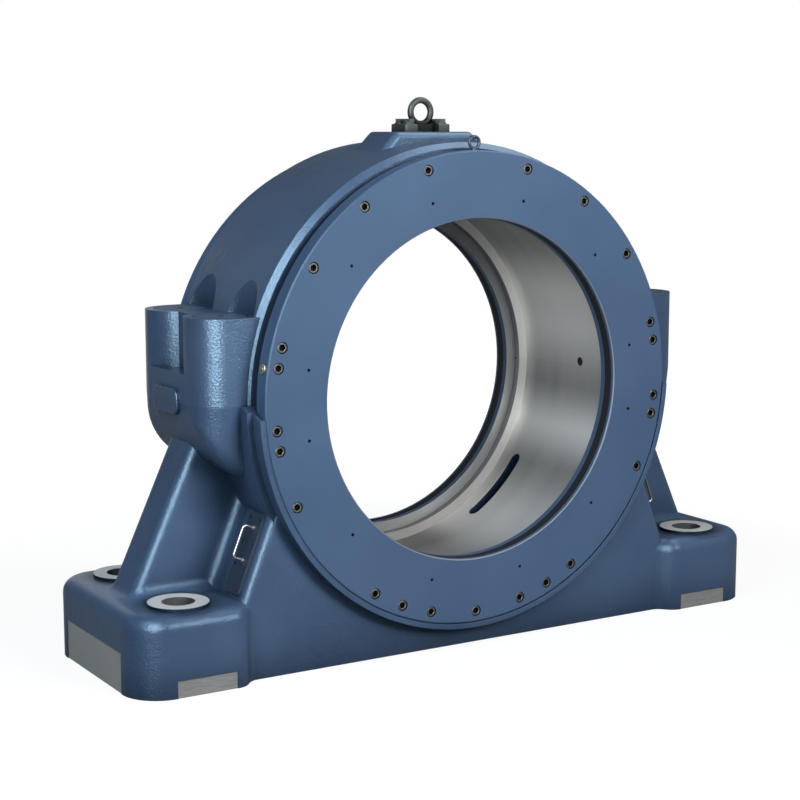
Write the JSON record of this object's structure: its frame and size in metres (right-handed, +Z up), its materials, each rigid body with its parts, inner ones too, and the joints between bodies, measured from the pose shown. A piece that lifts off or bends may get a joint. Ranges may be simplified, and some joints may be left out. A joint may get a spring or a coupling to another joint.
{
  "type": "split plummer block housing",
  "caption": "Large split plummer block housing with bolted end covers, inclined ribs, four bolting feet, inspection hatches and a lifting eye.",
  "frame": {"origin": "centre of the underside, below the middle of the bore", "axes": "+X along the base, +Y along the shaft axis towards the rear cover, +Z up"},
  "size_m": [2.72, 0.8, 2.031],
  "materials": {
    "housing_paint": "semi-gloss blue paint on cast iron, with bare milled flats",
    "cover_paint": "semi-gloss blue paint on machined steel",
    "eyebolt_paint": "semi-gloss blue paint",
    "plug_paint": "semi-gloss blue paint",
    "dark_screws": "dark oiled steel",
    "bolt_steel": "plain steel",
    "lifting_eye_steel": "dark grey-green primer",
    "handle_steel": "bright stainless wire",
    "brass_plug": "turned brass",
    "seal_rubber": "black rubber",
    "gasket": "thin dark gasket"
  },
  "bodies": {
    "root": {"housing_base": "housing_paint", "housing_cap": "housing_paint", "front_cover": "cover_paint", "front_cover_gasket": "gasket", "front_cover_screws": "dark_screws", "front_cover_eyebolt": "eyebolt_paint", "front_shaft_seal": "seal_rubber", "front_grease_plug": "brass_plug", "rear_cover": "cover_paint", "rear_cover_gasket": "gasket", "rear_cover_screws": "dark_screws", "rear_cover_eyebolt": "eyebolt_paint", "rear_shaft_seal": "seal_rubber", "rear_grease_plug": "brass_plug", "cap_bolt_left_front": "bolt_steel", "cap_washer_left_front": "bolt_steel", "bolt_plug_left_front": "plug_paint", "cap_bolt_left_rear": "bolt_steel", "cap_washer_left_rear": "bolt_steel", "bolt_plug_left_rear": "plug_paint", "cap_bolt_right_front": "bolt_steel", "cap_washer_right_front": "bolt_steel", "bolt_plug_right_front": "plug_paint", "cap_bolt_right_rear": "bolt_steel", "cap_washer_right_rear": "bolt_steel", "bolt_plug_right_rear": "plug_paint", "dowel_left": "bolt_steel", "dowel_right": "bolt_steel", "lifting_eye": "lifting_eye_steel", "lifting_eye_washers": "lifting_eye_steel", "lifting_eye_bolts": "lifting_eye_steel", "hatch_gasket_left_front": "gasket", "hatch_cover_left_front": "cover_paint", "hatch_handle_left_front": "handle_steel", "hatch_gasket_left_rear": "gasket", "hatch_cover_left_rear": "cover_paint", "hatch_handle_left_rear": "handle_steel", "hatch_gasket_right_front": "gasket", "hatch_cover_right_front": "cover_paint", "hatch_handle_right_front": "handle_steel", "hatch_gasket_right_rear": "gasket", "hatch_cover_right_rear": "cover_paint", "hatch_handle_right_rear": "handle_steel"}
  },
  "joints": []
}
